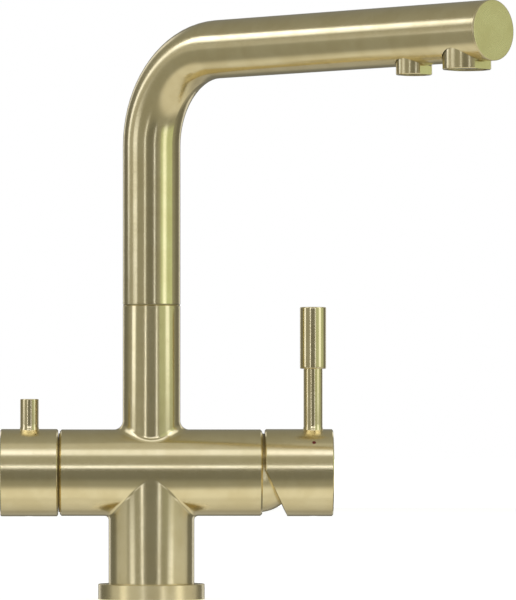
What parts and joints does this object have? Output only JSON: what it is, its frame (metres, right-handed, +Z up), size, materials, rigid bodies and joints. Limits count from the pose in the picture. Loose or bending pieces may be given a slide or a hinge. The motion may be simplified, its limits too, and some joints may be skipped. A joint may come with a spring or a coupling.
{
  "type": "three way filtered water tap",
  "caption": "Kitchen mixer with a cross tube, a side joystick lever, a filtered water lever and a square-bend swivel spout with two outlets.",
  "frame": {"origin": "centre of the base's underside, on the pillar's axis, at deck level", "axes": "+Z up along the pillar, +X along the cross tube to the mixer lever, -Y to the front; the spout points 45 degrees between +X and -Y at rest"},
  "size_m": [0.2564, 0.2056, 0.2993],
  "materials": {
    "satin_brass": "satin brushed",
    "plain_brass": "turned",
    "black_rubber": "matt",
    "cartridge_plastic": "moulded",
    "ceramic": "lapped",
    "guide_plastic": "moulded",
    "aerator_plastic": "moulded",
    "steel": "plain",
    "tube_plastic": "extruded",
    "temperature_dot": "enamelled"
  },
  "bodies": {
    "tap_body": {"body_casting": "satin_brass", "base_flange": "satin_brass", "deck_gasket": "black_rubber", "cartridge_base": "cartridge_plastic", "cartridge_seals": "black_rubber", "cartridge_housing": "cartridge_plastic", "fixed_ceramic_disc": "ceramic", "cartridge_nut": "plain_brass", "dome_cover": "satin_brass", "filter_valve_body": "plain_brass", "filter_valve_seal": "black_rubber", "filter_fixed_disc": "ceramic", "filter_spigot": "plain_brass", "filter_spigot_oring": "black_rubber", "neck_slide_washer": "guide_plastic", "spout_retaining_screw": "steel"},
    "mixer_turret": {"cartridge_turret": "cartridge_plastic", "lever_pivot_pin": "steel"},
    "mixer_disc": {"moving_ceramic_disc": "ceramic", "disc_carrier": "cartridge_plastic"},
    "mixer_lever": {"cartridge_lever": "plain_brass", "mixer_handle": "satin_brass", "mixer_handle_screw": "steel", "lever_stem": "satin_brass", "lever_grip": "satin_brass", "temperature_dot": "temperature_dot"},
    "filter_lever": {"filter_spindle": "plain_brass", "filter_moving_disc": "ceramic", "filter_handle": "satin_brass", "filter_pin_lever": "satin_brass", "filter_handle_screw": "steel"},
    "spout": {"spout_tube": "satin_brass", "spout_sleeve": "plain_brass", "spout_orings": "black_rubber", "spout_guide_rings": "guide_plastic", "outlet_block": "plain_brass", "spout_end_cap": "satin_brass", "filtered_water_tube": "tube_plastic", "filter_tube_socket": "tube_plastic", "mixed_outlet_housing": "satin_brass", "mixed_outlet_aerator": "aerator_plastic", "mixed_outlet_washer": "black_rubber", "filtered_outlet_housing": "satin_brass", "filtered_outlet_insert": "aerator_plastic", "filtered_outlet_washer": "black_rubber"}
  },
  "joints": [
    {"name": "spout_swivel", "type": "hinge", "parent": "tap_body", "child": "spout", "pos_m": [0, 0, 0.153], "axis": [0, 0, 1], "continuous": true},
    {"name": "mixer_temperature", "type": "hinge", "parent": "tap_body", "child": "mixer_turret", "pos_m": [0.0554, 0, 0.066], "axis": [1, 0, 0], "range_deg": [-45, 45]},
    {"name": "mixer_flow", "type": "hinge", "parent": "mixer_turret", "child": "mixer_lever", "pos_m": [0.0554, 0, 0.066], "axis": [0, 1, 0], "range_deg": [0, 25]},
    {"name": "mixer_disc_slide", "type": "slide", "parent": "mixer_turret", "child": "mixer_disc", "axis": [0, 0, 1], "range_m": [0, 0.0062]},
    {"name": "filter_turn", "type": "hinge", "parent": "tap_body", "child": "filter_lever", "pos_m": [-0.0635, 0, 0.066], "axis": [1, 0, 0], "range_deg": [0, 90]}
  ],
  "couplings": [
    {"joint": "mixer_disc_slide", "follows": "mixer_flow", "m_per_rad": 0.014044}
  ]
}
